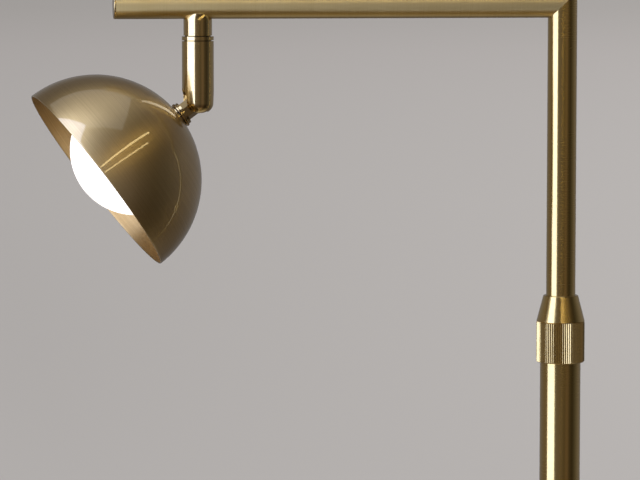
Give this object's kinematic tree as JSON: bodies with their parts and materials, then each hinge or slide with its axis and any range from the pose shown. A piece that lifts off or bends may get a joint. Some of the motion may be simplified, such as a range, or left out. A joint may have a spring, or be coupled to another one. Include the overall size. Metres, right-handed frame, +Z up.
{
  "type": "adjustable arm floor lamp",
  "caption": "Brass floor lamp: telescoping pole with a knurled clamp, a mitred arm and a half-sphere shade on a ball swivel around an opal glass.",
  "frame": {"origin": "where the pole's axis meets the floor", "axes": "+Z up the pole, -X along the arm at rest, +Y square to the arm; the head rests turned 6.3 degrees about +Z from the arm, towards -Y"},
  "size_m": [0.4616, 0.27, 1.259],
  "materials": {
    "spun_brass": "circular satin brush, clear lacquer",
    "tube_brass": "fine lengthwise satin brush, clear lacquer",
    "turned_brass": "turned and satin brushed, clear lacquer",
    "knurled_brass": "straight knurl with a turned cone",
    "polished_brass": "turned and polished, clear lacquer",
    "contact_brass": "bright stamped strip",
    "cast_iron": "rough casting, dark dip coat",
    "zinc_steel": "zinc plated",
    "spring_steel": "blued spring steel",
    "felt": "pressed wool felt",
    "black_plastic": "moulded, fine texture",
    "nylon": "turned natural nylon",
    "rubber": "moulded",
    "ceramic": "glazed",
    "lamp_glass": "frosted capsule",
    "opal_glass": "blown opal, satin outside, lit from within"
  },
  "bodies": {
    "stand": {"base_cover": "spun_brass", "base_weight": "cast_iron", "base_pad": "felt", "base_washer": "zinc_steel", "base_nut": "zinc_steel", "base_nipple": "zinc_steel", "pole_foot": "turned_brass", "cord_gland": "black_plastic", "lower_pole": "tube_brass", "clamp_sleeve": "turned_brass"},
    "bush": {"guide_bush": "nylon"},
    "mast": {"upper_pole": "tube_brass", "arm_tube": "tube_brass", "arm_end_cap": "turned_brass", "pole_plug": "black_plastic", "bush_clip": "spring_steel", "swivel_stub": "polished_brass", "swivel_bolt": "zinc_steel", "wave_washer": "spring_steel"},
    "collet": {"clamp_ring": "nylon"},
    "nut": {"clamp_nut": "knurled_brass"},
    "swivel": {"swivel_cap": "polished_brass", "swivel_body": "polished_brass", "plunger": "nylon", "disc_springs": "spring_steel"},
    "head": {"head_stem": "polished_brass", "stem_nut": "polished_brass", "crown_disc": "polished_brass", "crown_gasket": "rubber", "crown_washer": "turned_brass", "shade": "spun_brass", "glass_carrier": "turned_brass", "inner_nut": "zinc_steel", "holder_bracket": "zinc_steel", "bracket_screws": "zinc_steel", "holder_screws": "zinc_steel", "lampholder": "ceramic", "holder_contacts": "contact_brass", "lamp_capsule": "lamp_glass", "lamp_pins": "zinc_steel", "glass_globe": "opal_glass"}
  },
  "joints": [
    {"name": "pole_slide", "type": "slide", "parent": "stand", "child": "bush", "axis": [0, 0, 1], "range_m": [-0.165, 0.245]},
    {"name": "pole_swing", "type": "hinge", "parent": "bush", "child": "mast", "pos_m": [0, 0, 1.25], "axis": [0, 0, 1], "range_deg": [-165, 165]},
    {"name": "nut_turn", "type": "hinge", "parent": "collet", "child": "nut", "pos_m": [0, 0, 1.035], "axis": [0, 0, 1], "range_deg": [0, 366]},
    {"name": "collet_lift", "type": "slide", "parent": "stand", "child": "collet", "axis": [0, 0, 1], "range_m": [0, 0.001]},
    {"name": "head_pan", "type": "hinge", "parent": "mast", "child": "swivel", "pos_m": [-0.224, 0, 1.1909], "axis": [0, 0, 1], "range_deg": [-165, 165]},
    {"name": "head_tilt", "type": "hinge", "parent": "swivel", "child": "head", "pos_m": [-0.224, 0, 1.1909], "axis": [-0.1097, 0.994, 0], "range_deg": [-53.5, 25]}
  ],
  "couplings": [
    {"joint": "nut_turn", "follows": "collet_lift", "rad_per_m": 6283.2}
  ]
}
